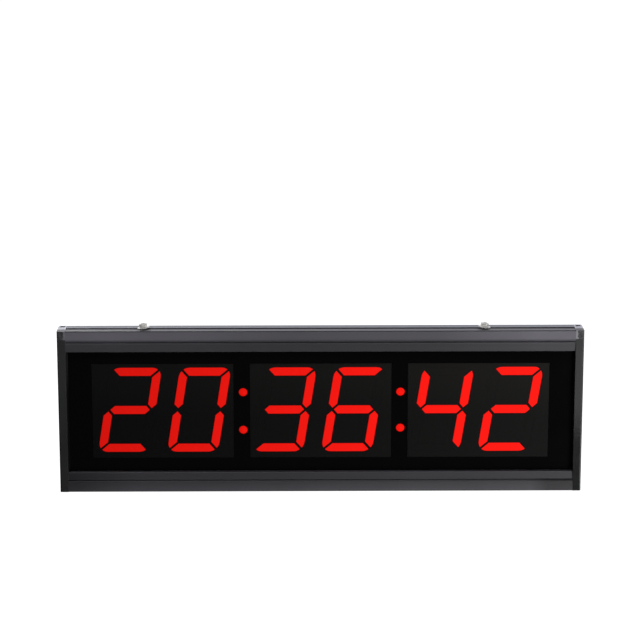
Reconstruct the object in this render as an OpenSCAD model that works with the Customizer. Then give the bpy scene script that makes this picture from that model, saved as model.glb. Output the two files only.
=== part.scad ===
// Round timer with a six-digit LED display in an extruded aluminium case.
// The case stands on its bottom rail. +Z is up, the display faces -Y, and the origin is
// at the middle of the underside. Lengths are in millimetres and angles in degrees.

/* [Case] */
// Overall width of the case
case_w = 600; // [590:1:640]
// Overall height of the case
case_h = 190; // [190:1:220]
// Overall depth of the case
case_d = 30; // [30:0.5:34]
// Height of the top rail
top_rail_h = 24.8; // [24.6:0.1:27]
// Height of the bottom rail
bottom_rail_h = 22.9; // [22.9:0.1:25]
// Width of the side rails, seen from the front
side_w = 9.5; // [9.5:0.5:12]
// Distance of the front panel behind the front edge of the case
panel_recess = 8; // [8:0.25:8.5]

/* [Hanging slot] */
// Width of the mouth of the T-slot
slot_mouth = 6.4; // [5.6:0.1:7]
// Width of the channel under the lips
slot_inner = 11.4; // [11.2:0.1:11.8]
// Thickness of the two lips
slot_lip = 1.8; // [1.5:0.1:2]
// Depth of the slot, from the face to its floor
slot_depth = 6.4; // [6.3:0.1:6.8]
// Distance of the slot behind mid-depth
slot_y = -1.6; // [-2:0.1:0]

/* [Displays] */
// Tens and units shown by the left display
hours = 20; // [0:1:87]
// Tens and units shown by the middle display
minutes = 36; // [0:1:59]
// Tens and units shown by the right display
seconds = 42; // [0:1:59]
// Width of one display window
window_w = 162.2; // [160:0.1:163]
// Height of one display window
window_h = 111.6; // [106:0.1:114]
// Distance between the middles of neighbouring windows
window_pitch = 180.9; // [180:0.1:182]
// Distance of the windows' middle below mid-height
window_drop = 0.7; // [0:0.1:1.5]
// Distance between the middles of neighbouring pairs of digits
pair_pitch = 178.7; // [178:0.1:181]
// Distance between the two digits of a pair
digit_pitch = 79.3; // [76:0.1:80]
// Width of a digit, measured level
digit_w = 58.6; // [50:0.1:62]
// Height of a digit
digit_h = 99.2; // [80:0.1:102]
// Height of the digits' middle above the windows' middle
digit_lift = 1.1; // [0:0.1:3]
// Width of a level segment
segment_w = 9.1; // [8:0.1:11]
// Width of an upright segment
upright_w = 9.4; // [8:0.1:11]
// Gap between neighbouring segments
segment_gap = 3.2; // [2:0.1:3.6]
// Lean of the digits to the right
slant = 9.2; // [0:0.1:10]
// Diameter of a colon lamp
colon_d = 9.4; // [8:0.1:10]
// Distance between the two lamps of the left colon
left_colon_gap = 44.6; // [36:0.1:50]
// Distance between the two lamps of the right colon
right_colon_gap = 42.8; // [36:0.1:50]

/* [Hangers] */
// Place of the left hanger along the slot
left_hanger_x = -202; // [-280:1:-20]
// Place of the right hanger along the slot
right_hanger_x = 187; // [20:1:280]
// Lean of the loose hanging bolts along the slot, away from mid-width
bolt_lean = 9; // [0:0.5:10]
// Outer diameter of their washers
washer_d = 14; // [12:0.5:15]

/* [Back] */
// Distance between the two wall-mounting keyholes
keyhole_pitch = 400; // [300:10:420]
// Diameter of the round part of a keyhole
keyhole_d = 9; // [8:0.1:10]
// Width of the narrow part of a keyhole
keyhole_slot_w = 4.6; // [4:0.1:5]
// Distance between neighbouring buttons
button_pitch = 24; // [16:1:30]
// Distance that a button travels when pressed
button_travel = 0.5; // [0.3:0.1:0.6]

/* [Hidden] */
$fn = 48;

// Faces and levels
front_y = -case_d / 2;
back_y = case_d / 2;
mid_z = case_h / 2;
rail_l = case_w - 2 * side_w;
inner_x = case_w / 2 - side_w;
opening_h = case_h - top_rail_h - bottom_rail_h;
opening_z = bottom_rail_h + opening_h / 2;
window_z = mid_z - window_drop;

// Rail section, with u measured from the rail's outer face
wall = 1.6;
groove_u = 11;
web_u = 14.6;
band_u = 14.3;
band_step = 0.9;
band_lean = 1;
groove_in = 2.3;
groove_round = 2.3;
groove_bottom_u = 13.5;
front_round = 1;
lip_round = 0.5;
back_chamfer = 0.6;
chamber_u = 8.6;
front_chamber_w = 3.4;
port_y = 9.9;
port_u = 5.2;
port_r = 1.7;
floor_t = 1.5;
cover_flange_t = 1.6;
flange_edge_u = 15.5;
rib_t = 1.4;

// Front panel
panel_t = 3;
panel_y = front_y + panel_recess;
panel_slot_t = 3.2;
panel_slot_play = 0.1;
panel_end_play = 0.5;
panel_bury = 4.5;
side_slot_depth = 3;
panel_side_bury = 2.5;
window_play = 0.2;
strip_w = 1.8;
strip_t = 1.6;
strip_play = 0.1;

// Displays
pair_x = [-pair_pitch - 0.4, -2, pair_pitch - 0.4];
housing_proud = 0.2;
housing_d = 7.9;
housing_y = panel_y - housing_proud;
board_t = 1.6;
board_y = housing_y + housing_d;
board_w = 168;
board_h = 130;
lens_gap = 0.5;
lens_inset = 0.25;
unlit_gap = 0.1;
unlit_inset = 0.02;
lens_t = 2.6;
digit_round = 11;
chips_per_segment = 4;
chip_size = [2.8, 1, 2.8];
level_row_half = 14;
upright_row_half = 12;

// Colon lamps: place along X, height of the middle above the windows' middle, and gap
colons = [[-88.9, -0.5, left_colon_gap], [91.5, 0.6, right_colon_gap]];
colon_board_w = 12;
colon_board_h = 76;
lamp_play = 0.15;
lamp_flange = 0.7;
lamp_flange_gap = 0.05;
lamp_flange_t = 1.5;
lamp_lead_pitch = 2.54;
lamp_lead_w = 0.5;
dome_base = 2;

// Remote-control receiver
receiver = [-window_pitch / 2, 0, [6, 7]];
receiver_lens_r = 2;
receiver_lens_lift = 0.8;
receiver_gap = 0.2;

// Standoffs and screws
standoff_r = 2.5;
tap_r = 1.25;
shank_r = 1.2;
hole_r = 1.6;
head_r = 2.75;
head_h = 1.6;
cross_l = 3;
cross_w = 0.6;
cross_depth = 0.8;
post_inset = 4;
board_post_x = board_w / 2 - post_inset;
board_post_z = board_h / 2 - post_inset;
colon_post_z = colon_board_h / 2 - post_inset;
board_screw_l = 5.2;
main_screw_l = 4.8;
post_floor = 0.8;
cover_screw_l = 5;

// Corner screws, countersunk in the side rails
corner_hole_r = 2;
corner_sink_r = 3.6;
corner_sink_depth = 1.8;
corner_head_r = 3.45;
corner_head_h = 1.7;
corner_shank_r = 1.8;
corner_thread_r = 1.65;
corner_l = 20;
corner_sunk = 0.1;

// Side rails
side_round = 1.4;
side_chamber = [5.5, 6];
side_chamber_back = 2.5;

// Back cover
cover_t = 1.5;
cover_inset = 2;
cover_back = back_y - cover_inset;
cover_y = cover_back - cover_t;
cover_play = 0.3;
cover_h = case_h - 2 * (flange_edge_u + 0.5);
cover_screw_x = [-280, -140, 0, 140, 280];
cover_screw_u = 20.5;
keyhole_z = mid_z + 42;
keyhole_run = 9;
jack_x = inner_x - 13.5;
jack_z = mid_z;
jack_thread_r = 3.9;
jack_thread_l = 10;
jack_flange = [5.3, 1.8];
jack_socket = [2.85, 7.7];
jack_pin_r = 1;
jack_pin_proud = 0.8;
jack_tail = 2.5;
jack_nut_size = [5.6, 2];
jack_play = 0.05;
jack_y = cover_back;
tab_size = [0.8, 3, 3.4];
tab_x = 2.6;
tail_y = jack_y - 11.6;
lead_r = 0.9;

// Main board, hung on the back cover
main_w = 150;
main_h = 76;
main_gap = 4.4;
main_y = cover_y - main_gap - board_t;
main_back = main_y + board_t;
main_post_x = main_w / 2 - 5;
main_post_z = main_h / 2 - 5;

// Blocks on the main board: place along X, height above mid-height, and size
controller = [0, 8, [12, 1.4, 12]];
pin_one = [-4.5, 12.5, 0.5, 0.2];
driver_x = [-50:20:50];
driver = [26, [10, 1.5, 4]];
crystal_can = [-13, 8, [4, 3, 10.5]];
cell_case = [-50, 3, [24, 4, 23]];
inductor = [22, 3, [7, 3, 7]];
regulator = [22, -6, [6.5, 2.3, 6]];
lead_socket = [62, -24, [6, 3, 8]];

// Round parts on the main board: place along X, height above mid-height, radius and height
sounder = [50, 4, 6, 4];
sounder_hole_r = 1;
cell = [-50, 3, 10, 3.2];
cell_play = 0.15;
cell_floor = 0.7;
capacitors = [[33, 5, 3, 4], [33, -4, 3, 4]];

// Ribbon cables and their sockets
ribbon_x = [68, 121];
ribbon_socket = [5, 2.4, 20];
board_socket = [5, 2.6, 20];
header = [20, 5];
colon_socket = [5, 2.6, 8];
colon_socket_z = 12;
ribbon_t = 0.7;
ribbon_w = 18;

// Buttons
button_z = mid_z - 23;
cap_r = 3.6;
cap_proud = 1.2;
collar_r = 4.5;
collar_t = 0.45;
cap_seat = 0.2;
stem_r = 1.7;
stem_play = 0.3;
switch_w = 6;
switch_h = 2.9;
switch_floor = 1.2;
stem_rest_gap = 0.5;
stem_start = switch_floor + button_travel + stem_rest_gap;

// Hanging bolts: size of the head along X, Y and its own axis
bolt_head = [6, 10.4, 3];
bolt_r = 2.4;
bolt_proud = 0.7;
bolt_end_taper = 0.5;
slide_gap = 0.1;
washer_t = 0.8;
washer_play = 0.35;
washer_rise = washer_d / 2 * sin(bolt_lean) + slide_gap;
bolt_reach = (washer_rise + (slot_lip + slot_depth) / 2) / cos(bolt_lean) - bolt_head.z / 2;
nut_flats = 8;
nut_corners = 9;
nut_h = 4;
nut_taper = 0.35;
nut_play = 0.05;
nut_turns = [12, 38];

black = [0.03, 0.03, 0.03];
face_grey = [0.09, 0.09, 0.09];
lamp_red = [0.95, 0.1, 0.07];
rail_grey = [0.31, 0.3, 0.32];
side_grey = [0.2, 0.2, 0.21];
board_green = [0.05, 0.3, 0.16];
steel = [0.75, 0.75, 0.73];
chip_black = [0.12, 0.12, 0.12];

// ---------------------------------------------------------------- helpers

// Points of an arc about c, from angle a0 to a1
function arc(c, r, a0, a1, n = 6) =
    [for (i = [0:n]) c + r * [cos(a0 + (a1 - a0) * i / n), sin(a0 + (a1 - a0) * i / n)]];

// Extrudes an outline drawn in X and Z from depth y0 to depth y1
module deep(y0, y1) {
    translate([0, y1, 0])
        rotate([90, 0, 0])
            linear_extrude(y1 - y0)
                children();
}

// Extrudes an outline drawn in Y and Z along X, centred on x = 0
module along_x(l) {
    translate([-l / 2, 0, 0])
        rotate([90, 0, 90])
            linear_extrude(l)
                children();
}

// A block of the given size, centred in X and Z, whose front face is at p.y
module block(p, size) {
    translate([p.x - size.x / 2, p.y, p.z - size.z / 2])
        cube(size);
}

// A cylinder along Y from y0 to y1
module peg(x, z, r, y0, y1) {
    translate([x, y1, z])
        rotate([90, 0, 0])
            cylinder(r = r, h = y1 - y0);
}

// A pan-head screw that points to -Y, with the underside of its head at y
module pan_screw(x, y, z, length, flip = false) {
    translate([x, y, z])
        rotate([flip ? -90 : 90, 0, 0])
            difference() {
                union() {
                    translate([0, 0, -head_h])
                        cylinder(r = head_r, h = head_h);
                    cylinder(r = shank_r, h = length);
                }
                for (a = [0, 90])
                    rotate([0, 0, a])
                        translate([-cross_l / 2, -cross_w / 2, -head_h - 1])
                            cube([cross_l, cross_w, 1 + cross_depth]);
            }
}

// A tube that follows a path of points with flat-ended rings of eight sides
module tube(path, r) {
    sides = 8;
    n = len(path);
    function heading(i) = let (d = path[min(i + 1, n - 1)] - path[max(i - 1, 0)]) d / norm(d);
    function across(h) = let (s = cross(h, abs(h.y) > 0.9 ? [1, 0, 0] : [0, 1, 0])) s / norm(s);
    points = [
        for (i = [0:n - 1])
            let (h = heading(i), s = across(h), t = cross(h, s))
                for (k = [0:sides - 1])
                    path[i] + r * (cos(360 * k / sides) * s + sin(360 * k / sides) * t)
    ];
    walls = [
        for (i = [0:n - 2], k = [0:sides - 1])
            let (a = i * sides + k, b = i * sides + (k + 1) % sides)
                [a, a + sides, b + sides, b]
    ];
    ends = [[for (k = [0:sides - 1]) k], [for (k = [sides - 1:-1:0]) (n - 1) * sides + k]];
    polyhedron(points, concat(walls, ends));
}

// ---------------------------------------------------------------- case rails

// Section of a rail of height h, in Y and u, with u running from the outer face inwards
module rail_section(h) {
    band_y = front_y + band_step;
    lip_y = band_y + band_lean;
    slot_front = panel_y - panel_slot_play;
    slot_back = slot_front + panel_slot_t;
    slot_bottom = h - panel_bury - panel_end_play;
    mouth = slot_mouth / 2;
    inner = slot_inner / 2;
    chamber_front = slot_y - inner - floor_t;
    chamber_back = slot_y + inner + floor_t;
    difference() {
        polygon(concat(
            arc([front_y + front_round, front_round], front_round, 180, 270),
            [
                [slot_y - mouth, 0], [slot_y - mouth, slot_lip], [slot_y - inner, slot_lip],
                [slot_y - inner, slot_depth], [slot_y + inner, slot_depth],
                [slot_y + inner, slot_lip], [slot_y + mouth, slot_lip], [slot_y + mouth, 0],
                [back_y - back_chamfer, 0], [back_y, back_chamfer],
                [back_y, flange_edge_u], [cover_y, flange_edge_u], [cover_y, h],
                [cover_y - cover_flange_t, h], [cover_y - cover_flange_t, web_u],
                [slot_back + rib_t, web_u], [slot_back + rib_t, h],
                [slot_back, h], [slot_back, slot_bottom],
                [slot_front, slot_bottom], [slot_front, h]
            ],
            arc([lip_y + lip_round, h - lip_round], lip_round, 90, 180, 4),
            [[band_y, band_u], [front_y + groove_in, groove_bottom_u]],
            arc([front_y + groove_round, groove_u], groove_round, 120, 180, 4)
        ));
        // Closed chambers that make the extrusion light
        translate([chamber_front - front_chamber_w, chamber_u])
            square([front_chamber_w, web_u - wall - chamber_u]);
        translate([slot_y - inner, slot_depth + floor_t])
            square([slot_inner, web_u - wall - slot_depth - floor_t]);
        translate([chamber_back, chamber_u])
            square([back_y - wall - chamber_back, web_u - wall - chamber_u]);
        translate([lip_y + wall, web_u + wall])
            square([slot_front - wall - lip_y - wall, h - 2 * wall - web_u]);
        // Screw ports for the corner screws
        for (side = [-1, 1])
            translate([side * port_y, port_u])
                circle(port_r);
    }
}

// One rail of height h with its cover-screw holes, standing as the bottom rail
module rail(h) {
    difference() {
        along_x(rail_l)
            rail_section(h);
        for (x = cover_screw_x)
            peg(x, cover_screw_u, tap_r, cover_y - cover_flange_t - 1, cover_y + 1);
    }
}

module bottom_rail() {
    color(rail_grey)
        rail(bottom_rail_h);
}

module top_rail() {
    color(rail_grey)
        translate([0, 0, case_h])
            mirror([0, 0, 1])
                rail(top_rail_h);
}

// Section of the left side rail in X and Y, with its outer face at x = 0
module side_section() {
    difference() {
        polygon(concat(
            arc([side_round, front_y + side_round], side_round, 180, 270),
            [[side_w, front_y], [side_w, back_y], [back_chamfer, back_y], [0, back_y - back_chamfer]]
        ));
        translate([(side_w - side_chamber.x) / 2, back_y - side_chamber_back - side_chamber.y])
            square(side_chamber);
    }
}

// Left side rail with its panel slot and four countersunk corner holes
module side_rail() {
    slot_h = opening_h + 2 * (panel_bury + panel_end_play);
    difference() {
        translate([-case_w / 2, 0, 0])
            linear_extrude(case_h)
                side_section();
        translate([-inner_x - side_slot_depth, panel_y - panel_slot_play, opening_z - slot_h / 2])
            cube([side_slot_depth + 1, panel_slot_t, slot_h]);
        for (y = [-port_y, port_y], z = [port_u, case_h - port_u])
            translate([-case_w / 2, y, z])
                rotate([0, 90, 0]) {
                    translate([0, 0, -1])
                        cylinder(r = corner_hole_r, h = side_w + 2);
                    translate([0, 0, -0.01])
                        cylinder(r1 = corner_sink_r, r2 = corner_hole_r, h = corner_sink_depth);
                }
    }
}

module left_side_rail() {
    color(side_grey)
        side_rail();
}

module right_side_rail() {
    color(side_grey)
        mirror([1, 0, 0])
            side_rail();
}

// Countersunk self-tapping screw that points to +X from the left side face
module corner_screw(y, z) {
    translate([-case_w / 2 + corner_sunk, y, z])
        rotate([0, 90, 0])
            difference() {
                union() {
                    cylinder(r1 = corner_head_r, r2 = corner_shank_r, h = corner_head_h);
                    cylinder(r = corner_shank_r, h = side_w - corner_sunk);
                    cylinder(r = corner_thread_r, h = corner_l);
                }
                for (a = [0, 90])
                    rotate([0, 0, a])
                        translate([-cross_l / 2, -cross_w / 2, -1])
                            cube([cross_l, cross_w, 1 + cross_depth]);
            }
}

module rail_screws() {
    color(steel)
        for (side = [0, 1])
            mirror([side, 0, 0])
                for (y = [-port_y, port_y], z = [port_u, case_h - port_u])
                    corner_screw(y, z);
}

// ---------------------------------------------------------------- front panel

// Height of a colon's upper (1) or lower (-1) lamp
function lamp_z(colon, side) = window_z + colon[1] + side * colon[2] / 2;

module front_panel() {
    color(black)
        difference() {
            block([0, panel_y, opening_z],
                [2 * (inner_x + panel_side_bury), panel_t, opening_h + 2 * panel_bury]);
            for (i = [-1, 0, 1])
                block([i * window_pitch, panel_y - 1, window_z], [window_w, panel_t + 2, window_h]);
            for (colon = colons, side = [-1, 1])
                peg(colon[0], lamp_z(colon, side), colon_d / 2 + lamp_play,
                    panel_y - 1, panel_y + panel_t + 1);
        }
}

// Filler strip that closes the gap between the panel and the left side rail
module panel_edge_strip() {
    color(face_grey)
        block([-inner_x + strip_play + strip_w / 2, panel_y - strip_t, opening_z],
            [strip_w, strip_t, opening_h - 4 * strip_play]);
}

// ---------------------------------------------------------------- digits

// Digit geometry, grown outwards by g: half-width, half-height and the widths of the strokes
function half_w(g) = digit_w / 2 + g;
function half_h(g) = digit_h / 2 + g;
function level_t(g) = segment_w + 2 * g;
function upright_t(g) = upright_w / cos(slant) + 2 * g;
function mitre(g) = (segment_gap - 2 * g) / sqrt(2);

// How far a height leans to the right, and the points of an upright digit leaned over
function lean(z) = tan(slant) * z;
function leaned(points) = [for (p = points) [p.x + lean(p.y), p.y]];

// Outline of a whole digit with rounded outer corners
module digit_outline(g) {
    w = half_w(g);
    h = half_h(g);
    r = digit_round + g;
    polygon(leaned(concat(
        arc([w - r, h - r], r, 0, 90),
        arc([-w + r, h - r], r, 90, 180),
        arc([-w + r, -h + r], r, 180, 270),
        arc([w - r, -h + r], r, 270, 360)
    )));
}

// The wedge that holds segment a, b, f or g before the outline trims it
module segment_wedge(name, g) {
    lt = level_t(g);
    ut = upright_t(g);
    c = mitre(g);
    top = half_h(g) - lt;
    side = half_w(g) - ut;
    mid = half_w(g) - ut / 2;
    if (name == "a")
        polygon(leaned([
            [-side + c, top], [side - c, top],
            [side - c + 2 * ut, top + 2 * lt], [-side + c - 2 * ut, top + 2 * lt]
        ]));
    if (name == "b" || name == "f") {
        hand = name == "b" ? 1 : -1;
        polygon(leaned([
            [hand * side, top - c], [hand * half_w(g), top - c + lt],
            [hand * half_w(g), c + ut / 2], [hand * mid, c], [hand * side, c + ut / 2]
        ]));
    }
    if (name == "g")
        polygon(leaned([
            [-mid + c, 0], [-mid + c + lt / 2, lt / 2], [mid - c - lt / 2, lt / 2],
            [mid - c, 0], [mid - c - lt / 2, -lt / 2], [-mid + c + lt / 2, -lt / 2]
        ]));
}

// One segment; c, d and e are b's opposite, a and f turned half round
module segment(name, g = 0) {
    turned = name == "c" ? "f" : name == "d" ? "a" : name == "e" ? "b" : undef;
    intersection() {
        digit_outline(g);
        rotate(is_undef(turned) ? 0 : 180)
            segment_wedge(is_undef(turned) ? name : turned, g);
    }
}

ALL_SEGMENTS = "abcdefg";
LIT = ["abcdef", "bc", "abdeg", "abcdg", "bcfg", "acdfg", "acdefg", "abc", "abcdefg", "abcdfg"];
function is_lit(name, digit) = len(search(name, LIT[digit])) > 0;
function digit_of(value, place) = place == 0 ? floor(value / 10) : value % 10;
function digit_x(pair, place) = pair_x[pair + 1] + (place - 0.5) * digit_pitch;

// Chosen segments of a pair of digits, as lenses in the housing's face
module lenses(pair, value, lit) {
    y0 = housing_y + (lit ? lens_inset : unlit_inset);
    for (place = [0, 1])
        translate([digit_x(pair, place), 0, window_z + digit_lift])
            for (name = ALL_SEGMENTS)
                if (is_lit(name, digit_of(value, place)) == lit)
                    deep(y0, y0 + lens_t)
                        segment(name);
}

// Opaque block with a light well for each segment, close round the unlit ones
module display_housing(pair, value) {
    size = [window_w - 2 * window_play, housing_d, window_h - 2 * window_play];
    color(face_grey)
        difference() {
            block([pair * window_pitch, housing_y, window_z], size);
            for (place = [0, 1])
                translate([digit_x(pair, place), 0, window_z + digit_lift])
                    for (name = ALL_SEGMENTS)
                        deep(housing_y - 1, housing_y + housing_d + 1)
                            segment(name, is_lit(name, digit_of(value, place)) ? lens_gap : unlit_gap);
        }
}

module hours_display_housing() {
    display_housing(-1, hours);
}

module minutes_display_housing() {
    display_housing(0, minutes);
}

module seconds_display_housing() {
    display_housing(1, seconds);
}

module hours_lit_segments() {
    color(lamp_red) lenses(-1, hours, true);
}

module minutes_lit_segments() {
    color(lamp_red) lenses(0, minutes, true);
}

module seconds_lit_segments() {
    color(lamp_red) lenses(1, seconds, true);
}

module hours_unlit_segments() {
    color(face_grey) lenses(-1, hours, false);
}

module minutes_unlit_segments() {
    color(face_grey) lenses(0, minutes, false);
}

module seconds_unlit_segments() {
    color(face_grey) lenses(1, seconds, false);
}

// ---------------------------------------------------------------- display boards

module display_board(pair) {
    color(board_green)
        difference() {
            block([pair * window_pitch, board_y, window_z], [board_w, board_t, board_h]);
            for (sx = [-1, 1], sz = [-1, 1])
                peg(pair * window_pitch + sx * board_post_x, window_z + sz * board_post_z, hole_r,
                    board_y - 1, board_y + board_t + 1);
        }
}

module hours_display_board() {
    display_board(-1);
}

module minutes_display_board() {
    display_board(0);
}

module seconds_display_board() {
    display_board(1);
}

// Ends of each segment's row of chips, from the digit's middle
function row_z() = (digit_h - segment_w) / 4;
function row_x() = (digit_w - segment_w) / 2;
function level_row(z) = [[-level_row_half, z], [level_row_half, z]];
function upright_row(side, up) =
    [for (end = [-1, 1]) [side * row_x(), up * (row_z() + end * upright_row_half)]];
function chip_row(name) =
    name == "a" ? level_row(2 * row_z()) :
    name == "d" ? level_row(-2 * row_z()) :
    name == "g" ? level_row(0) :
    upright_row(name == "b" || name == "c" ? 1 : -1, name == "b" || name == "f" ? 1 : -1);

module segment_leds() {
    color("ivory")
        for (pair = [-1, 0, 1], place = [0, 1], name = ALL_SEGMENTS)
            for (i = [0:chips_per_segment - 1]) {
                row = chip_row(name);
                p = row[0] + (row[1] - row[0]) * i / (chips_per_segment - 1);
                block([digit_x(pair, place) + p.x + lean(p.y), board_y - chip_size.y,
                    window_z + digit_lift + p.y], chip_size);
            }
}

// ---------------------------------------------------------------- colon lamps

// Domed lamp with its flange behind the panel and two leads to the board
module colon_lamp(x, z) {
    r = colon_d / 2;
    dome_y = panel_y + dome_base;
    flange_y = panel_y + panel_t + lamp_flange_gap;
    lead_y = flange_y + lamp_flange_t;
    translate([x, dome_y, z])
        rotate([90, 0, 0])
            intersection() {
                sphere(r = r);
                cylinder(r = r + 1, h = r + 1);
            }
    peg(x, z, r, dome_y, lead_y);
    peg(x, z, r + lamp_flange, flange_y, lead_y);
    for (side = [-1, 1])
        block([x + side * lamp_lead_pitch / 2, lead_y, z],
            [lamp_lead_w, board_y - lead_y, lamp_lead_w]);
}

module colon_lamps(colon) {
    color(lamp_red)
        for (side = [-1, 1])
            colon_lamp(colon[0], lamp_z(colon, side));
}

module left_colon_lamps() {
    colon_lamps(colons[0]);
}

module right_colon_lamps() {
    colon_lamps(colons[1]);
}

module colon_boards() {
    color(board_green)
        for (side = [-1, 1])
            difference() {
                block([side * window_pitch / 2, board_y, window_z],
                    [colon_board_w, board_t, colon_board_h]);
                for (sz = [-1, 1])
                    peg(side * window_pitch / 2, window_z + sz * colon_post_z, hole_r,
                        board_y - 1, board_y + board_t + 1);
            }
}

// Remote-control receiver behind the panel, between the left colon's lamps
module ir_receiver() {
    back_of_panel = panel_y + panel_t;
    front = back_of_panel + receiver_gap;
    color(chip_black) {
        block([receiver.x, front, window_z + receiver.y],
            [receiver[2].x, board_y - front, receiver[2].y]);
        peg(receiver.x, window_z + receiver.y + receiver_lens_lift, receiver_lens_r,
            back_of_panel + lamp_flange_gap, front + receiver_gap);
    }
}

// ---------------------------------------------------------------- posts and screws

// Runs its children at every post behind the front panel
module at_panel_posts() {
    for (i = [-1, 0, 1], sx = [-1, 1], sz = [-1, 1])
        translate([i * window_pitch + sx * board_post_x, 0, window_z + sz * board_post_z])
            children();
    for (side = [-1, 1], sz = [-1, 1])
        translate([side * window_pitch / 2, 0, window_z + sz * colon_post_z])
            children();
}

module panel_standoffs() {
    color("khaki")
        at_panel_posts()
            difference() {
                peg(0, 0, standoff_r, panel_y + panel_t, board_y);
                peg(0, 0, tap_r, panel_y + panel_t + post_floor, board_y + 1);
            }
}

module board_screws() {
    color(steel)
        at_panel_posts()
            pan_screw(0, board_y + board_t, 0, board_screw_l);
}

// ---------------------------------------------------------------- main board

module at_main_posts() {
    for (sx = [-1, 1], sz = [-1, 1])
        translate([sx * main_post_x, 0, mid_z + sz * main_post_z])
            children();
}

module main_board() {
    color(board_green)
        difference() {
            block([0, main_y, mid_z], [main_w, board_t, main_h]);
            at_main_posts()
                peg(0, 0, hole_r, main_y - 1, main_back + 1);
        }
}

module main_board_standoffs() {
    color("khaki")
        at_main_posts()
            difference() {
                peg(0, 0, standoff_r, main_back, cover_y);
                peg(0, 0, tap_r, main_back - 1, cover_y - post_floor);
            }
}

module main_board_screws() {
    color(steel)
        at_main_posts()
            pan_screw(0, main_y, 0, main_screw_l, true);
}

// A block on the back of the main board
module main_block(part) {
    block([part.x, main_back, mid_z + part.y], part[2]);
}

// A round part on the back of the main board
module main_round(part, base = 0) {
    peg(part.x, mid_z + part.y, part[2], main_back + base, main_back + base + part[3]);
}

module controller_chip() {
    top = main_back + controller[2].y;
    color(chip_black)
        difference() {
            main_block(controller);
            peg(pin_one.x, mid_z + pin_one.y, pin_one[2], top - pin_one[3], top + 1);
        }
}

module driver_chips() {
    color(chip_black)
        for (x = driver_x)
            main_block([x, driver[0], driver[1]]);
}

module crystal() {
    color(steel)
        main_block(crystal_can);
}

module buzzer() {
    color(chip_black)
        difference() {
            main_round(sounder);
            peg(sounder.x, mid_z + sounder.y, sounder_hole_r, main_back + 1, main_back + sounder[3] + 1);
        }
}

module battery_holder() {
    color(chip_black)
        difference() {
            main_block(cell_case);
            peg(cell.x, mid_z + cell.y, cell[2] + cell_play,
                main_back + cell_floor, main_back + cell_case[2].y + 1);
        }
}

module coin_cell() {
    color(steel)
        main_round(cell, cell_floor);
}

// Inductor, regulator and two capacitors of the power supply
module power_parts() {
    color(chip_black) {
        main_block(inductor);
        main_block(regulator);
        for (part = capacitors)
            main_round(part);
    }
}

// Sockets for the ribbon cables, the board-to-board header and the power inlet
module board_connectors() {
    board_back = board_y + board_t;
    color("ivory") {
        for (side = [-1, 1]) {
            main_block([side * ribbon_x[0], 0, ribbon_socket]);
            block([side * ribbon_x[1], board_back, mid_z], board_socket);
            block([side * window_pitch / 2, board_back, mid_z + colon_socket_z], colon_socket);
        }
        block([0, board_back, mid_z], [header.x, main_y - board_back, header.y]);
        main_block(lead_socket);
    }
}

// Flat cable of even thickness along a path in X and Y
module ribbon(path, t, w) {
    n = len(path);
    function along(i) = let (d = path[min(i + 1, n - 1)] - path[max(i - 1, 0)]) d / norm(d);
    function side(i) = [-along(i).y, along(i).x] * t / 2;
    translate([0, 0, mid_z - w / 2])
        linear_extrude(w)
            polygon(concat(
                [for (i = [0:n - 1]) path[i] + side(i)],
                [for (i = [n - 1:-1:0]) path[i] - side(i)]
            ));
}

// Route of a ribbon cable in X and Y, from the main board to an outer display board
function ribbon_route() =
    let (a = ribbon_x[0], b = ribbon_x[1], top = main_back + ribbon_socket.y,
        low = board_y + board_t + board_socket.y)
    [
        [a, top], [a, top + 0.7], [a + 0.7, top + 1.3], [a + 8, top + 1.3],
        [(a + b) / 2, (top + low) / 2 + 1.4], [b - 8, low + 1.5], [b - 0.8, low + 1.4],
        [b, low + 0.7], [b, low]
    ];

module ribbon_cables() {
    color("silver")
        for (side = [0, 1])
            mirror([side, 0, 0])
                ribbon(ribbon_route(), ribbon_t, ribbon_w);
}

// ---------------------------------------------------------------- power inlet

module dc_jack() {
    socket_y = jack_y - jack_socket[1];
    color(chip_black)
        difference() {
            union() {
                peg(jack_x, jack_z, jack_flange[0], jack_y, jack_y + jack_flange[1]);
                peg(jack_x, jack_z, jack_thread_r, jack_y - jack_thread_l, jack_y);
                block([jack_x + tab_x, tail_y - jack_pin_r + 0.1, jack_z], tab_size);
            }
            peg(jack_x, jack_z, jack_socket[0], socket_y, jack_y + jack_flange[1] + 1);
            peg(jack_x, jack_z, jack_pin_r, jack_y - jack_thread_l - 1, socket_y + 1);
        }
}

// Centre contact of the inlet, with its solder tail behind
module jack_pin() {
    color("gold")
        peg(jack_x, jack_z, jack_pin_r, jack_y - jack_thread_l - jack_tail, jack_y + jack_pin_proud);
}

module jack_nut() {
    color(steel)
        difference() {
            translate([jack_x, cover_y, jack_z])
                rotate([90, 0, 0])
                    cylinder(r = jack_nut_size[0], h = jack_nut_size[1], $fn = 6);
            peg(jack_x, jack_z, jack_thread_r + jack_play, cover_y - jack_nut_size[1] - 1, cover_y + 1);
        }
}

// Route of a supply lead from the inlet, along the floor of the case, to the main board
function lead_route(shift) = [
    [jack_x + tab_x / 2 + shift, tail_y, jack_z - 1.8],
    [jack_x + tab_x / 2 + shift, tail_y, jack_z - 12],
    [jack_x + tab_x / 2 + shift, tail_y + 0.4, 50], [jack_x + shift, 3, 38 - shift / 2],
    [jack_x - 6 + shift / 2, 5, 31 - shift], [262, 6.5, 28 - shift], [220, 6.8, 28 - shift],
    [180, 7, 28 - shift], [140, 7, 28 - shift], [108, 7, 28 - shift],
    [98 - 0.7 * shift, 7.4, 31 - 0.7 * shift], [92 - shift, 8.2, 40], [90 - shift, 8.7, 52],
    [87 - shift, 8.7, 62 - shift / 2], [80 - shift / 2, 8.7, 69 - shift],
    [72, 8.7, 71 - shift], [65.1, 8.7, 71 - shift]
];

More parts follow.
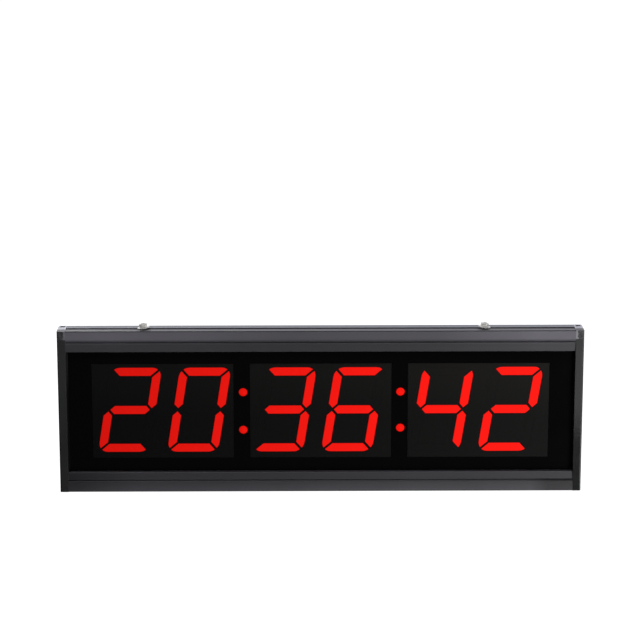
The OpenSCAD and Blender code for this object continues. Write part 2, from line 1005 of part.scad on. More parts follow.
module jack_leads() {
    color("firebrick")
        for (side = [-1, 1])
            tube(lead_route(side * tab_x / 2), lead_r);
}

// ---------------------------------------------------------------- buttons

function button_x(i) = (i - 1.5) * button_pitch;

// Switch bodies with a round well for each button's stem
module tact_switches() {
    color(chip_black)
        for (i = [0:3])
            difference() {
                block([button_x(i), main_back, button_z], [switch_w, switch_h, switch_w]);
                peg(button_x(i), button_z, stem_r + stem_play,
                    main_back + switch_floor, main_back + switch_h + 1);
            }
}

// Button with a stem in its switch and a collar that the cover holds in
module button(i, tint) {
    collar_y = cover_y - cover_play;
    color(tint) {
        peg(button_x(i), button_z, cap_r, collar_y - cap_seat, cover_back + cap_proud);
        peg(button_x(i), button_z, collar_r, collar_y - collar_t, collar_y);
        peg(button_x(i), button_z, stem_r, main_back + stem_start, collar_y - cap_seat);
    }
}

module set_button() {
    button(0, "dimgray");
}

module plus_button() {
    button(1, "dimgray");
}

module minus_button() {
    button(2, "dimgray");
}

module start_button() {
    button(3, "firebrick");
}

// ---------------------------------------------------------------- back cover

module keyhole(x) {
    peg(x, keyhole_z, keyhole_d / 2, cover_y - 1, cover_back + 1);
    peg(x, keyhole_z + keyhole_run, keyhole_slot_w / 2, cover_y - 1, cover_back + 1);
    block([x, cover_y - 1, keyhole_z + keyhole_run / 2], [keyhole_slot_w, cover_t + 2, keyhole_run]);
}

module back_cover() {
    color(side_grey)
        difference() {
            block([0, cover_y, mid_z], [2 * (inner_x - cover_play), cover_t, cover_h]);
            for (x = cover_screw_x, z = [cover_screw_u, case_h - cover_screw_u])
                peg(x, z, hole_r, cover_y - 1, cover_back + 1);
            for (side = [-1, 1])
                keyhole(side * keyhole_pitch / 2);
            for (i = [0:3])
                peg(button_x(i), button_z, cap_r + cover_play, cover_y - 1, cover_back + 1);
            peg(jack_x, jack_z, jack_thread_r + jack_play, cover_y - 1, cover_back + 1);
        }
}

module back_cover_screws() {
    color(steel)
        for (x = cover_screw_x, z = [cover_screw_u, case_h - cover_screw_u])
            pan_screw(x, cover_back, z, cover_screw_l);
}

// ---------------------------------------------------------------- hangers

// Puts things on a loose bolt's axis, with z = 0 at the underside of its washer
module on_bolt(x) {
    translate([x, slot_y, case_h + washer_rise])
        rotate([0, x < 0 ? -bolt_lean : bolt_lean, 0])
            children();
}

// T-bolt whose head stays under the lips of the slot
module hanger_bolt(x) {
    top = washer_t + nut_h + bolt_proud;
    color(steel)
        on_bolt(x) {
            translate([0, 0, -bolt_reach - bolt_head.z / 2])
                cube(bolt_head, center = true);
            translate([0, 0, -bolt_reach])
                cylinder(r = bolt_r, h = bolt_reach + top - bolt_end_taper);
            translate([0, 0, top - bolt_end_taper])
                cylinder(r1 = bolt_r, r2 = bolt_r - bolt_end_taper, h = bolt_end_taper);
        }
}

// Wide washer that rests on the rail at one edge
module hanger_washer(x) {
    color(steel)
        on_bolt(x)
            difference() {
                cylinder(r = washer_d / 2, h = washer_t);
                translate([0, 0, -1])
                    cylinder(r = bolt_r + washer_play, h = washer_t + 2);
            }
}

// Hexagon nut with tapered corners; turn is its angle on the bolt
module hanger_nut(x, turn) {
    color(steel)
        on_bolt(x)
            translate([0, 0, washer_t])
                difference() {
                    intersection() {
                        rotate([0, 0, turn])
                            cylinder(d = nut_flats / cos(30), h = nut_h, $fn = 6);
                        rotate_extrude()
                            polygon([
                                [0, 0], [nut_flats / 2, 0], [nut_corners / 2, nut_taper],
                                [nut_corners / 2, nut_h - nut_taper], [nut_flats / 2, nut_h], [0, nut_h]
                            ]);
                    }
                    translate([0, 0, -1])
                        cylinder(r = bolt_r + nut_play, h = nut_h + 2);
                }
}

module left_hanger_bolt() {
    hanger_bolt(left_hanger_x);
}

module left_hanger_washer() {
    hanger_washer(left_hanger_x);
}

module left_hanger_nut() {
    hanger_nut(left_hanger_x, nut_turns[0]);
}

module right_hanger_bolt() {
    hanger_bolt(right_hanger_x);
}

module right_hanger_washer() {
    hanger_washer(right_hanger_x);
}

module right_hanger_nut() {
    hanger_nut(right_hanger_x, nut_turns[1]);
}

top_rail();
bottom_rail();
left_side_rail();
right_side_rail();
rail_screws();
front_panel();
panel_edge_strip();
hours_display_housing();
minutes_display_housing();
seconds_display_housing();
hours_lit_segments();
minutes_lit_segments();
seconds_lit_segments();
hours_unlit_segments();
minutes_unlit_segments();
seconds_unlit_segments();
hours_display_board();
minutes_display_board();
seconds_display_board();
segment_leds();
left_colon_lamps();
right_colon_lamps();
colon_boards();
ir_receiver();
panel_standoffs();
board_screws();
main_board();
main_board_standoffs();
main_board_screws();
controller_chip();
driver_chips();
crystal();
buzzer();
battery_holder();
coin_cell();
power_parts();
board_connectors();
ribbon_cables();
dc_jack();
jack_pin();
jack_nut();
jack_leads();
tact_switches();
set_button();
plus_button();
minus_button();
start_button();
back_cover();
back_cover_screws();
left_hanger_bolt();
left_hanger_washer();
left_hanger_nut();
right_hanger_bolt();
right_hanger_washer();
right_hanger_nut();
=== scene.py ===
"""Gym round timer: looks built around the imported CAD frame, in metres.

The display faces -Y, +Z is up, and the case stands on the floor at z = 0.
"""

import math

import bpy
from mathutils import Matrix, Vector


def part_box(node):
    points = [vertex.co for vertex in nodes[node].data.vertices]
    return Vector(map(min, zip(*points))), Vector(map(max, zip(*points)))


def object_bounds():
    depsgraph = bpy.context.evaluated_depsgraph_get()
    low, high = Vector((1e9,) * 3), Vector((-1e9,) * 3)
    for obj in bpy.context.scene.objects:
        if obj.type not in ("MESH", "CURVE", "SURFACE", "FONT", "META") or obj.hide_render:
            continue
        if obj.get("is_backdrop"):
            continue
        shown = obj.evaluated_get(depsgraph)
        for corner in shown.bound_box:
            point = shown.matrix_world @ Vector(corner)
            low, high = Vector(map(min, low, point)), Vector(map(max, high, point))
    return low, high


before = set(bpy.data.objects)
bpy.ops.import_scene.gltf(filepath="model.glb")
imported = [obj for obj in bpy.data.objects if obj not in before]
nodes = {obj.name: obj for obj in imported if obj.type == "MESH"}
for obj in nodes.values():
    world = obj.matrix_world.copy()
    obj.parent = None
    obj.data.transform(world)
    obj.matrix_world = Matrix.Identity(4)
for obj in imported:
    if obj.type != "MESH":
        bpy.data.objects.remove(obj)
cad_low, cad_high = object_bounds()

scene = bpy.context.scene
MM = 0.001

# ------------------------------------------------------------------ camera and studio

CAMERA_PLACE = (-0.0284, -2.6158, 0.8004)
CAMERA_PITCH = 12.940
CAMERA_TURN = 0.606
CAMERA_LENS = 132.33

# Rail section: where the inner band starts, measured from the rail's outer face
BAND_START = 14.35 * MM

# Rail zones, each as the two distances between which its tone fades: from the outer face for
# the groove, lip, painted highlight line and front edge, and from the front face for the rest
GROOVE_FADE = (9.6 * MM, 11.4 * MM)
LIP_FADE = (22.1 * MM, 22.6 * MM)
HIGHLIGHT_LINE_FADE = (BAND_START + 1.2 * MM, BAND_START + 0.9 * MM)
FRONT_EDGE_FADE = (1.1 * MM, 0.7 * MM)
FRONT_FACE_FADE = (4.0 * MM, 3.0 * MM)
FRONT_TONE_FADE = (7.0 * MM, 6.0 * MM)
BEHIND_SLOT_FADE = (16.0 * MM, 17.5 * MM)
SEAM_SHADOW_DEPTH_FADE = (19.0 * MM, 18.0 * MM)

# Side rail zones: the worn top, the sawn end's painted shade band and front strip, and the chamber's mouth,
# which is painted light
WORN_TOP_FADE = (10.6 * MM, 9.2 * MM)
SAWN_SHADE_FADE = (9.8 * MM, 10.4 * MM)
STRIP_FADE = (4.8 * MM, 4.2 * MM)
CHAMBER_FROM_BACK = (2.3 * MM, 8.7 * MM)
CHAMBER_FROM_SIDE = (1.8 * MM, 7.7 * MM)
MOUTH_DEPTH_FADE = (4.0 * MM, 3.0 * MM)

# Across this middle stretch, the tone of things on the left turns into that on the right
LEFT_TO_RIGHT = (-0.1, 0.1)

# Tones of the coated aluminium: each rail's outer and inner band, then the smaller zones, many of which are
# painted light and shade
RAIL_DARK, RAIL_LIGHT = (0.079, 0.076, 0.088), (0.096, 0.092, 0.107)
SIDE_DARK, SIDE_LIGHT = (0.024, 0.024, 0.0255), (0.030, 0.030, 0.032)
# Band factors, outer then inner: the top rail's outer band is painted lighter than the bottom rail's, a
# painted light from above, and the inner bands are darker, partly two-tone finish and partly painted shade
TOP_RAIL_TONES = (1.58, 0.47)
BOTTOM_RAIL_TONES = (0.72, 0.48)
FRONT_EDGE_SHADE_TONE = 0.3
TOP_FRONT_TONE = 0.85
TOP_BACK_REFLECTION = (0.19, 0.195, 0.235)
RIGHT_SIDE_SHADE_TONE = 0.6
RUBBED = (0.10, 0.10, 0.105)
BARE_EDGE = (0.247, 0.24, 0.26)
SAWN_DARK, SAWN_LIGHT = (0.36, 0.35, 0.41), (0.56, 0.55, 0.62)
SAWN_SHADE_TONE, STRIP_TONE = 0.04, 0.19
GROOVE_SHADE_TONE, HIGHLIGHT_LINE_TONE, SEAM_SHADOW_TONE = 0.48, 1.4, 0.2
SATIN = (0.40, 0.56)

# Colour of the surroundings, and their brightness below the horizon, above it and behind the case
WORLD_COLOUR = (0.95, 0.96, 1.0, 1.0)
WORLD_LOW = 0.03
WORLD_HIGH = 0.05
WORLD_BEHIND = 1.0

# Studio lamps: name, place, the point each one faces, size and power
LAMPS = [
    ("right_low", (0.95, -1.2, -0.2), (0.0, 0.0, 0.1), (0.5, 0.5), 9.0),
    ("under", (0.3, -1.1, -0.9), (0.0, 0.0, 0.1), (1.0, 0.4), 3.2),
    ("overhead", (0.0, -0.38, 0.72), (0.0, 0.0, 0.10), (1.4, 0.25), 1.7),
    ("back_left", (-0.9, 1.2, 0.9), (0.0, 0.0, 0.1), (1.0, 0.6), 8.0),
]


def make_camera():
    """The camera at the photograph's viewing angle."""
    data = bpy.data.cameras.new("camera")
    data.lens = CAMERA_LENS
    data.sensor_width = 36.0
    data.clip_start, data.clip_end = 0.05, 60.0
    camera = bpy.data.objects.new("camera", data)
    camera.location = CAMERA_PLACE
    camera.rotation_euler = (math.radians(90.0 - CAMERA_PITCH), 0.0, math.radians(-CAMERA_TURN))
    scene.collection.objects.link(camera)
    scene.camera = camera


def area_light(name, place, target, size, power):
    """A soft rectangular lamp that points at target and isn't seen itself."""
    data = bpy.data.lights.new(name, "AREA")
    data.shape = "RECTANGLE"
    data.size, data.size_y = size
    data.energy = power
    lamp = bpy.data.objects.new(name, data)
    lamp.location = place
    lamp.rotation_euler = (Vector(target) - Vector(place)).to_track_quat("-Z", "Y").to_euler()
    lamp.visible_camera = False
    scene.collection.objects.link(lamp)


def make_world():
    """Soft studio surroundings: dim below, brighter above and brightest behind the case."""
    world = bpy.data.worlds.new("studio")
    world.use_nodes = True
    tree = world.node_tree
    tree.nodes.clear()
    place = tree.nodes.new("ShaderNodeTexCoord")
    split = tree.nodes.new("ShaderNodeSeparateXYZ")
    tree.links.new(place.outputs["Generated"], split.inputs[0])

    def ramp(axis, low, high, to_low, to_high):
        node = tree.nodes.new("ShaderNodeMapRange")
        node.interpolation_type = "SMOOTHSTEP"
        limits = {"From Min": low, "From Max": high, "To Min": to_low, "To Max": to_high}
        for name, value in limits.items():
            node.inputs[name].default_value = value
        tree.links.new(split.outputs[axis], node.inputs["Value"])
        return node.outputs["Result"]

    def combine(how, a, b):
        node = tree.nodes.new("ShaderNodeMath")
        node.operation = how
        tree.links.new(a, node.inputs[0])
        tree.links.new(b, node.inputs[1])
        return node.outputs[0]

    above = ramp("Z", -0.12, 0.3, WORLD_LOW, WORLD_HIGH)
    behind = combine("MULTIPLY", ramp("Y", 0.0, 0.5, 0.0, WORLD_BEHIND), ramp("Z", -0.15, 0.1, 0.0, 1.0))
    background = tree.nodes.new("ShaderNodeBackground")
    background.inputs["Color"].default_value = WORLD_COLOUR
    output = tree.nodes.new("ShaderNodeOutputWorld")
    tree.links.new(combine("ADD", above, behind), background.inputs["Strength"])
    tree.links.new(background.outputs[0], output.inputs["Surface"])
    scene.world = world


def make_stage():
    """A pale floor that curves up into a pale dome, so that every view has a plain ground."""
    radius, height, rings, sides = 9.0, 7.0, 24, 64
    profile = [(0.0, 0.0), (2.0, 0.0), (5.0, 0.0)]
    for i in range(rings + 1):
        turn = 0.5 * math.pi * i / rings
        profile.append((radius * math.cos(turn), height * math.sin(turn)))
    points, faces = [(0.0, 0.0, 0.0)], []
    for reach, rise in profile[1:-1]:
        for k in range(sides):
            turn = 2 * math.pi * k / sides
            points.append((reach * math.cos(turn), reach * math.sin(turn), rise))
    points.append((0.0, 0.0, height))
    loops = len(profile) - 2
    for k in range(sides):
        after = (k + 1) % sides
        faces.append((0, 1 + k, 1 + after))
        last = 1 + (loops - 1) * sides
        faces.append((last + after, last + k, len(points) - 1))
        for i in range(loops - 1):
            low, high = 1 + i * sides, 1 + (i + 1) * sides
            faces.append((low + k, high + k, high + after, low + after))
    mesh = bpy.data.meshes.new("studio_floor")
    mesh.from_pydata(points, [], faces)
    mesh.polygons.foreach_set("use_smooth", [True] * len(mesh.polygons))
    floor = bpy.data.objects.new("studio_floor", mesh)
    scene.collection.objects.link(floor)
    floor.visible_diffuse = False
    floor.visible_glossy = False
    floor.visible_shadow = False

    material = bpy.data.materials.new("studio_floor")
    material.use_nodes = True
    tree = material.node_tree
    tree.nodes.clear()
    diffuse = tree.nodes.new("ShaderNodeBsdfDiffuse")
    diffuse.inputs["Color"].default_value = (0.30, 0.30, 0.30, 1.0)
    glow = tree.nodes.new("ShaderNodeEmission")
    glow.inputs["Color"].default_value = (1.0, 1.0, 1.0, 1.0)
    both = tree.nodes.new("ShaderNodeAddShader")
    output = tree.nodes.new("ShaderNodeOutputMaterial")
    tree.links.new(diffuse.outputs[0], both.inputs[0])
    tree.links.new(glow.outputs[0], both.inputs[1])
    tree.links.new(both.outputs[0], output.inputs["Surface"])
    mesh.materials.append(material)
    floor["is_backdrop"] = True


make_camera()
make_world()
make_stage()
for name, place, target, size, power in LAMPS:
    area_light(name, place, target, size, power)

# ------------------------------------------------------------------ material helpers


class Shader:
    """Builds one material's node tree around a Principled surface."""

    def __init__(self, name):
        self.material = bpy.data.materials.new(name)
        self.material.use_nodes = True
        self.tree = self.material.node_tree
        self.tree.nodes.clear()
        self.surface = self.add("BsdfPrincipled")
        output = self.add("OutputMaterial")
        self.tree.links.new(self.surface.outputs[0], output.inputs["Surface"])
        self.place = self.add("TexCoord").outputs["Object"]

    def join(self, socket, value):
        """Links another socket to this one, or sets this one's value."""
        if isinstance(value, bpy.types.NodeSocket):
            self.tree.links.new(value, socket)
        elif socket.type == "RGBA":
            socket.default_value = (*value, 1.0)
        else:
            socket.default_value = value

    def add(self, kind, **inputs):
        """A node, with its input sockets set to values or linked to other sockets."""
        node = self.tree.nodes.new("ShaderNode" + kind)
        for name, value in inputs.items():
            self.join(node.inputs[name.replace("_", " ")], value)
        return node

    def set(self, **inputs):
        """Sets or links sockets of the surface shader."""
        for name, value in inputs.items():
            self.join(self.surface.inputs[name.replace("_", " ")], value)

    def scaled(self, x, y, z):
        """The object's own coordinates, scaled along each axis."""
        return self.add("Mapping", Vector=self.place, Scale=(x, y, z)).outputs[0]

    def noise(self, scale, detail=4.0, roughness=0.55, where=None):
        place = self.place if where is None else where
        node = self.add("TexNoise", Scale=scale, Detail=detail, Roughness=roughness, Vector=place)
        return node.outputs[0]

    def cells(self, scale):
        return self.add("TexVoronoi", Scale=scale, Vector=self.place).outputs["Distance"]

    def range(self, value, low, high, to_low=0.0, to_high=1.0, smooth=False):
        """value mapped from low..high to to_low..to_high, and clamped."""
        node = self.add("MapRange", Value=value, From_Min=low, From_Max=high, To_Min=to_low, To_Max=to_high)
        node.interpolation_type = "SMOOTHSTEP" if smooth else "LINEAR"
        return node.outputs[0]

    def within(self, value, low, high, edge=0.1 * MM):
        """1 where value lies between low and high, and 0 outside, fading across each edge."""
        above = self.range(value, low - edge, low + edge)
        below = self.range(value, high + edge, high - edge)
        return self.product(above, below)

    def math(self, how, a, b=0.0):
        node = self.tree.nodes.new("ShaderNodeMath")
        node.operation = how
        self.join(node.inputs[0], a)
        self.join(node.inputs[1], b)
        return node.outputs[0]

    def product(self, first, *others):
        """Several numbers multiplied together."""
        for other in others:
            first = self.math("MULTIPLY", first, other)
        return first

    def minus(self, a, b):
        return self.math("SUBTRACT", a, b)

    def mix(self, share, a, b):
        """Colour a where share is 0, and b where it is 1."""
        node = self.tree.nodes.new("ShaderNodeMix")
        node.data_type = "RGBA"
        for index, value in ((0, share), (6, a), (7, b)):
            self.join(node.inputs[index], value)
        return node.outputs[2]

    def blend(self, share, a, b):
        """Number a where share is 0, and b where it is 1."""
        node = self.tree.nodes.new("ShaderNodeMix")
        for index, value in ((0, share), (2, a), (3, b)):
            self.join(node.inputs[index], value)
        return node.outputs[0]

    def tint(self, colour, factor):
        """A colour made factor times as bright, where factor may vary over the surface."""
        if isinstance(colour, tuple):
            return tuple(factor * c for c in colour)
        node = self.tree.nodes.new("ShaderNodeVectorMath")
        node.operation = "SCALE"
        self.join(node.inputs[0], colour)
        self.join(node.inputs["Scale"], factor)
        return node.outputs[0]

    def axis(self, name):
        """One of the object's own coordinates."""
        return self.add("SeparateXYZ", Vector=self.place).outputs[name]

    def facing(self, name):
        """One component of the surface's own normal."""
        normal = self.add("NewGeometry").outputs["True Normal"]
        return self.add("SeparateXYZ", Vector=normal).outputs[name]

    def edges(self, radius):
        """1 on edges that a thumb would rub, 0 on flat faces."""
        soft = self.add("Bevel", Radius=radius)
        soft.samples = 4
        normal = self.add("NewGeometry").outputs["Normal"]
        dot = self.tree.nodes.new("ShaderNodeVectorMath")
        dot.operation = "DOT_PRODUCT"
        self.join(dot.inputs[0], soft.outputs[0])
        self.join(dot.inputs[1], normal)
        return self.range(dot.outputs["Value"], 0.97, 0.85)

    def bump(self, height, strength, distance, under=None):
        node = self.add("Bump", Height=height, Strength=strength, Distance=distance)
        if under is not None:
            self.join(node.inputs["Normal"], under)
        return node.outputs[0]


# ------------------------------------------------------------------ materials


def coat_base(s, dark, light):
    """Grain, streaks and relief shared by the coated aluminium parts; returns tone and roughness."""
    cloud = s.noise(14.0, 3.0)
    grain = s.noise(2600.0, 2.0, 0.6)
    streak = s.noise(1.0, 3.0, 0.6, s.scaled(6.0, 900.0, 900.0))
    tone = s.mix(s.range(cloud, 0.3, 0.7), dark, light)
    tone = s.mix(s.range(grain, 0.35, 0.75, 0.0, 0.35), tone, s.tint(light, 1.5))
    satin = s.range(s.math("ADD", streak, grain), 0.6, 1.4, *SATIN)
    s.set(Roughness=satin, IOR=1.5)
    s.set(Normal=s.bump(streak, 0.12, 0.03 * MM, s.bump(grain, 0.30, 0.05 * MM)))
    return tone, satin


def rub_edges(s, tone, wear):
    """Bare metal showing in patches along the edges."""
    rub = s.product(s.edges(0.35 * MM), s.range(s.noise(160.0, 5.0, 0.7), 0.46, 0.62), wear)
    s.set(Metallic=s.product(rub, 0.6))
    return s.mix(rub, tone, (0.30, 0.30, 0.31))


def rail_coat(name, case, end):
    """Satin charcoal anodising of the long rails: the inner band is darker than the outer one, partly a
    two-tone finish and partly painted shade, and the tones carry painted light and shade.
    """
    s = Shader(name)
    low, high = case
    tone, _ = coat_base(s, RAIL_DARK, RAIL_LIGHT)
    height = s.axis("Z")
    across = s.axis("X")
    from_outer = s.math("MINIMUM", s.minus(height, low.z), s.minus(high.z, height))
    from_front = s.minus(s.axis("Y"), low.y)
    top = s.range(height, 0.4 * high.z, 0.6 * high.z)
    front_face = s.range(from_front, *FRONT_FACE_FADE)
    inner_band = s.product(s.range(from_outer, BAND_START - 0.1 * MM, BAND_START + 0.1 * MM), front_face)
    # The top rail's bands are painted lighter than the bottom rail's, a painted light from above
    outer_tone = s.blend(top, BOTTOM_RAIL_TONES[0], TOP_RAIL_TONES[0])
    inner_tone = s.blend(top, BOTTOM_RAIL_TONES[1], TOP_RAIL_TONES[1])
    # The bottom rail's ends are painted darker than its middle, a painted shade, and the top rail's ends
    # are painted lighter, a painted light
    painted_shade_left = s.range(across, low.x + 20 * MM, low.x + 85 * MM, 0.5, 1.0)
    painted_shade_right = s.range(across, high.x - 58 * MM, high.x - 38 * MM, 1.0, 0.38)
    painted_shade_ends = s.product(painted_shade_left, s.blend(inner_band, painted_shade_right, 1.0))
    painted_light_left = s.range(across, low.x + 40 * MM, 0.0, 0.45, 0.0, smooth=True)
    painted_light_right = s.range(across, 0.4 * high.x, high.x - 40 * MM, 0.0, 0.45, smooth=True)
    light = s.math("ADD", s.math("ADD", painted_light_left, painted_light_right), 0.76)
    factor = s.product(s.blend(inner_band, outer_tone, inner_tone), s.blend(top, painted_shade_ends, light))
    # The groove above the top rail's inner band is painted dark, a painted shade in the crease
    groove_shade = s.product(s.range(from_outer, *GROOVE_FADE), s.minus(1.0, inner_band), top, front_face)
    factor = s.product(factor, s.blend(groove_shade, 1.0, GROOVE_SHADE_TONE))
    # The bottom rail is painted darker towards its inner band, a painted shade, and has a painted highlight
    # on the lip beside the panel
    shade = s.blend(inner_band, s.range(from_outer, 1.0 * MM, 10.0 * MM, 1.25, 0.78), 1.0)
    lip_highlight_tone = s.range(across, low.x + 20 * MM, low.x + 120 * MM, 3.6, 2.0)
    lip_highlight = s.blend(s.range(from_outer, *LIP_FADE), 1.0, lip_highlight_tone)
    factor = s.product(factor, s.blend(top, s.product(shade, lip_highlight), 1.0))
    # The top rail's inner band starts with a thin light line, a painted highlight
    highlight_line = s.product(inner_band, s.range(from_outer, *HIGHLIGHT_LINE_FADE), top)
    factor = s.product(factor, s.blend(highlight_line, 1.0, HIGHLIGHT_LINE_TONE))
    # Behind the front face the tone is even
    factor = s.blend(s.range(from_front, *FRONT_TONE_FADE), 1.0, factor)
    # The top rail's rounded front edge is painted dark, a painted shade
    front_edge_shade = s.product(s.range(from_outer, *FRONT_EDGE_FADE), s.range(from_front, 1.1 * MM, 0.8 * MM))
    factor = s.blend(s.product(front_edge_shade, top), factor, FRONT_EDGE_SHADE_TONE)
    # On up-facing faces a plain tone replaces the painted band light and shade; on the top face, a painted
    # shadow in the seam beside the side rails, and a bluish painted reflection with dusty mottling behind
    # the slot
    upward = s.range(s.facing("Z"), 0.9, 0.98)
    factor = s.blend(upward, factor, TOP_FRONT_TONE)
    seam_shadow = s.range(s.minus(end, s.math("ABSOLUTE", across)), 1.6 * MM, 1.0 * MM)
    seam_shadow = s.product(seam_shadow, s.range(from_front, *SEAM_SHADOW_DEPTH_FADE), upward)
    tone = s.tint(tone, s.product(factor, s.blend(seam_shadow, 1.0, SEAM_SHADOW_TONE)))
    # The bluish strip behind the slot is a painted reflection of the backdrop
    dust_and_reflection = s.mix(s.range(s.noise(55.0, 4.0), 0.35, 0.65), s.tint(TOP_BACK_REFLECTION, 0.88), TOP_BACK_REFLECTION)
    tone = s.mix(s.product(upward, s.range(from_front, *BEHIND_SLOT_FADE)), tone, dust_and_reflection)
    s.set(Base_Color=rub_edges(s, tone, 0.3))
    return s.material


def side_coat(name, case, inner):
    """Near-black anodising of the side rails, rubbed at the top, with bare sawn ends, and with painted
    light and shade in several zones.
    """
    s = Shader(name)
    low, high = case
    tone, satin = coat_base(s, SIDE_DARK, SIDE_LIGHT)
    across = s.axis("X")
    reach = s.math("ABSOLUTE", across)
    from_side = s.minus(high.x, reach)
    from_front = s.minus(s.axis("Y"), low.y)
    from_back = s.minus(high.y, s.axis("Y"))
    height = s.axis("Z")
    from_top = s.minus(high.z, height)
    right = s.range(across, *LEFT_TO_RIGHT)
    # The right side rail is painted darker than the left, a painted shade
    tone = s.tint(tone, s.range(across, *LEFT_TO_RIGHT, 1.0, RIGHT_SIDE_SHADE_TONE))
    # The outer corners are painted darker, and so is the lower half: painted shade
    tone = s.mix(s.range(from_side, 1.3 * MM, 0.5 * MM), tone, s.tint(tone, 0.45))
    lower = s.range(height, low.z + 0.66 * (high.z - low.z), low.z + 0.3 * (high.z - low.z))
    tone = s.mix(lower, tone, s.tint(tone, 0.6))
    # Glossier along the outer corners and low on the right
    corner = s.range(from_side, 1.5 * MM, 0.7 * MM)
    glossy = s.math("MAXIMUM", corner, s.product(lower, right))
    s.set(Roughness=s.blend(glossy, satin, s.product(satin, 0.45)))
    # Worn and dusty zone beside the rail's outer band, with a ragged bare strip along it
    zone = s.range(from_top, *WORN_TOP_FADE)
    patch = s.range(s.noise(420.0, 5.0, 0.7), 0.40, 0.60)
    dusty = s.mix(patch, s.tint(tone, 0.9), RUBBED)
    tone = s.mix(s.product(zone, 0.85), tone, dusty)
    waver = s.range(s.noise(300.0, 3.0), 0.3, 0.7, -0.9 * MM, 0.9 * MM)
    ragged = s.math("ADD", s.minus(reach, inner), waver)
    bare_edge = s.product(zone, s.range(ragged, 2.7 * MM, 2.2 * MM), s.range(patch, 0.0, 1.0, 0.7, 1.0))
    # The bare strip is painted lighter on the right side rail, a painted light
    tone = s.mix(bare_edge, tone, s.mix(right, BARE_EDGE, s.tint(BARE_EDGE, 1.54)))
    tone = rub_edges(s, tone, 0.4)
    # Sawn ends: aluminium with fine saw marks, a dull strip in front and a painted shade band behind it
    sawn = s.range(s.math("ABSOLUTE", s.facing("Z")), 0.9, 0.98)
    sawn_factor = s.range(from_front, *SAWN_SHADE_FADE, SAWN_SHADE_TONE, 1.0)
    sawn_factor = s.blend(s.range(from_front, *STRIP_FADE), sawn_factor, STRIP_TONE)
    # The walls just inside the hollow chamber's mouth are painted light too, a painted light filling the
    # chamber's shade
    lit_mouth = s.product(s.within(from_back, *CHAMBER_FROM_BACK), s.within(from_side, *CHAMBER_FROM_SIDE))
    lit_mouth = s.product(lit_mouth, s.range(from_top, *MOUTH_DEPTH_FADE), s.blend(right, 1.0, 0.8))
    sawn = s.math("MAXIMUM", sawn, lit_mouth)
    marks = s.noise(1.0, 3.0, 0.6, s.scaled(2600.0, 40.0, 40.0))
    metal = s.tint(s.mix(s.range(marks, 0.3, 0.7), SAWN_DARK, SAWN_LIGHT), sawn_factor)
    s.set(Base_Color=s.mix(sawn, tone, metal))
    s.set(Metallic=s.product(sawn, 0.35))
    return s.material


def strip_plastic(name, case):
    """Dark filler strip, painted grey at the top as a painted light, and black lower down."""
    s = Shader(name)
    high = case[1]
    fine = s.noise(900.0, 3.0)
    # The top is painted lighter, a painted light falling on it
    painted_light_top = s.range(s.axis("Z"), 0.6 * high.z, 0.78 * high.z)
    tone = s.mix(painted_light_top, (0.0015, 0.0015, 0.0016), (0.020, 0.020, 0.022))
    s.set(Base_Color=s.mix(s.range(fine, 0.35, 0.7, 0.0, 0.3), tone, (0.010, 0.010, 0.011)))
    s.set(Roughness=s.range(fine, 0.3, 0.7, 0.5, 0.62), Specular_IOR_Level=0.1)
    s.set(Normal=s.bump(fine, 0.1, 0.02 * MM))
    return s.material


def plated_zinc(name):
    """Bright zinc plating with clouded patches and brown spots."""
    s = Shader(name)
    cloud = s.noise(420.0, 4.0, 0.6)
    fine = s.noise(2600.0, 3.0)
    tone = s.mix(s.range(cloud, 0.35, 0.65), (0.84, 0.82, 0.78), (0.97, 0.96, 0.93))
    spots = s.product(s.range(s.noise(700.0, 4.0, 0.7), 0.56, 0.66), 0.7)
    tone = s.mix(spots, tone, (0.20, 0.155, 0.12))
    s.set(Base_Color=tone, Metallic=0.06)
    s.set(Roughness=s.range(fine, 0.3, 0.7, 0.24, 0.42))
    s.set(Normal=s.bump(fine, 0.15, 0.02 * MM))
    return s.material


def plain(name, colour, roughness, metallic=0.0):
    """A material of one colour, with grain in its tone, roughness and relief."""
    s = Shader(name)
    cloud = s.noise(60.0, 4.0)
    fine = s.noise(900.0, 3.0)
    tone = s.mix(s.range(cloud, 0.3, 0.7), s.tint(colour, 0.82), colour)
    s.set(Base_Color=tone, Metallic=metallic)
    s.set(Roughness=s.range(fine, 0.3, 0.7, roughness - 0.06, roughness + 0.08))
    s.set(Normal=s.bump(fine, 0.15, 0.04 * MM))
    return s.material


def lens_red(name):
    """Lit lens: a diffusing red plastic over lamps, with a painted light that makes it a little brighter
    towards the right.
    """
    s = Shader(name)
    mottle = s.range(s.noise(240.0, 3.0), 0.3, 0.7, 0.97, 1.03)
    # The glow is painted brighter towards the right, a painted light
    power = s.product(s.range(s.axis("X"), -0.26, 0.26, 0.55, 1.0), mottle)
    s.set(Base_Color=(0.20, 0.002, 0.001), Roughness=0.6, Specular_IOR_Level=0.08)
    s.set(Emission_Color=(1.0, 0.008, 0.004), Emission_Strength=power)
    s.set(Normal=s.bump(s.noise(1500.0, 2.0), 0.1, 0.03 * MM))
    return s.material


def panel_gloss(name):
    """Smooth black acrylic with faint haze and a few specks of dust."""
    s = Shader(name)
    speck = s.range(s.cells(55.0), 0.045, 0.02)
    pick = s.range(s.noise(9.0, 2.0), 0.55, 0.6)
    dust_and_reflection = s.product(speck, pick, 0.25)
    s.set(Base_Color=s.mix(dust_and_reflection, (0.0034, 0.0034, 0.0036), (0.12, 0.12, 0.12)))
    s.set(Roughness=s.range(s.noise(30.0, 4.0), 0.3, 0.7, 0.10, 0.16))
    s.set(Specular_IOR_Level=0.1)
    s.set(Normal=s.bump(s.noise(700.0, 2.0), 0.04, 0.01 * MM))
    return s.material


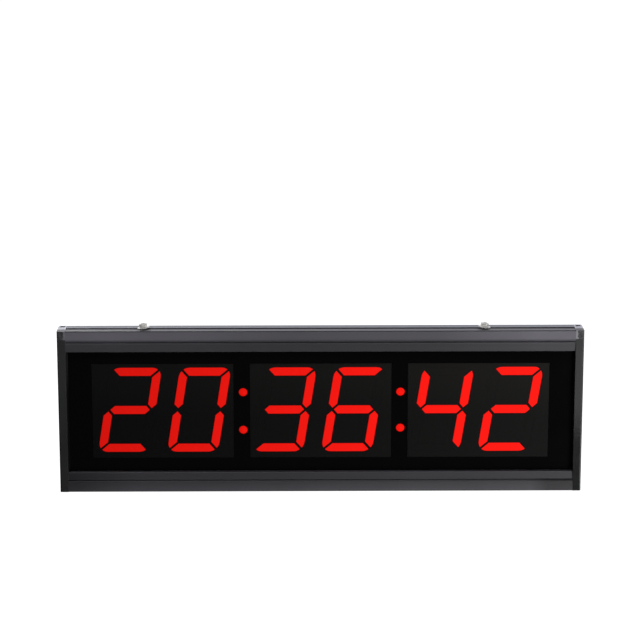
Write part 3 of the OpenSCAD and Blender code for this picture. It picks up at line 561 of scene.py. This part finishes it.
def display_film(name):
    """Dark grey face film of the display blocks, finely grained, painted lighter to the right as painted
    light.
    """
    s = Shader(name)
    fine = s.noise(1800.0, 2.0)
    # Painted lighter to the right, a painted light
    across = s.range(s.axis("X"), -0.27, 0.27)
    colour = s.mix(across, (0.0042, 0.0044, 0.0044), (0.0098, 0.0088, 0.0072))
    # The lower half is painted darker, a painted shade
    lower = s.range(s.axis("Z"), 0.135, 0.085)
    colour = s.mix(lower, colour, s.tint(colour, 0.35))
    colour = s.mix(s.range(fine, 0.35, 0.7, 0.0, 0.3), colour, (0.012, 0.012, 0.012))
    s.set(Base_Color=colour, Roughness=s.range(fine, 0.3, 0.7, 0.45, 0.6))
    s.set(Specular_IOR_Level=0.12)
    s.set(Normal=s.bump(fine, 0.1, 0.02 * MM))
    return s.material


def build_materials():
    """Every material, by the name of the CAD colour that it replaces."""
    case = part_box("left_side_rail")[0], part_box("right_side_rail")[1]
    inner_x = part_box("right_side_rail")[0].x
    rail_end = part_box("top_rail")[1].x
    return {
        "rail": rail_coat("rail_coat", case, rail_end),
        "side_rail": side_coat("side_rail_coat", case, inner_x),
        "screw_steel": plain("screw_steel", (0.42, 0.41, 0.39), 0.34, 1.0),
        "panel": panel_gloss("panel_acrylic"),
        "edge_strip": strip_plastic("edge_strip_plastic", case),
        "display_face": display_film("display_film"),
        "lit_red": lens_red("lit_lens"),
        "circuit_board": plain("circuit_board", (0.012, 0.11, 0.045), 0.35),
        "led_body": plain("led_body", (0.75, 0.72, 0.62), 0.4),
        "black_plastic": plain("black_plastic", (0.018, 0.018, 0.019), 0.42),
        "brass": plain("brass", (0.72, 0.50, 0.20), 0.25, 1.0),
        "cell_steel": plain("cell_steel", (0.60, 0.60, 0.58), 0.28, 1.0),
        "ribbon": plain("ribbon", (0.36, 0.36, 0.37), 0.5),
        "lead": plain("lead", (0.42, 0.015, 0.012), 0.4),
        "button_grey": plain("button_grey", (0.06, 0.06, 0.065), 0.5),
        "button_red": plain("button_red", (0.45, 0.02, 0.018), 0.45),
        "hanger_zinc": plated_zinc("hanger_zinc"),
    }


materials = build_materials()
for name, node in nodes.items():
    slot = node.data.materials[0].name.split(".")[0]
    node.data.materials.clear()
    node.data.materials.append(materials[slot])


def soften(node, width):
    """Rounds a CAD node's edges with modifiers only."""
    weld = node.modifiers.new("weld", "WELD")
    weld.merge_threshold = 0.001 * MM
    bevel = node.modifiers.new("bevel", "BEVEL")
    bevel.width = width
    bevel.segments = 2
    bevel.limit_method = "ANGLE"
    bevel.angle_limit = math.radians(35.0)
    bevel.harden_normals = False
    normals = node.modifiers.new("normals", "WEIGHTED_NORMAL")
    normals.keep_sharp = True


for name in ("top_rail", "bottom_rail", "left_side_rail", "right_side_rail"):
    soften(nodes[name], 0.2 * MM)

scene.view_settings.view_transform = "Standard"
scene.view_settings.look = "None"

size = {"cad": [list(cad_low), list(cad_high)], "visual": [list(v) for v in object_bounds()]}
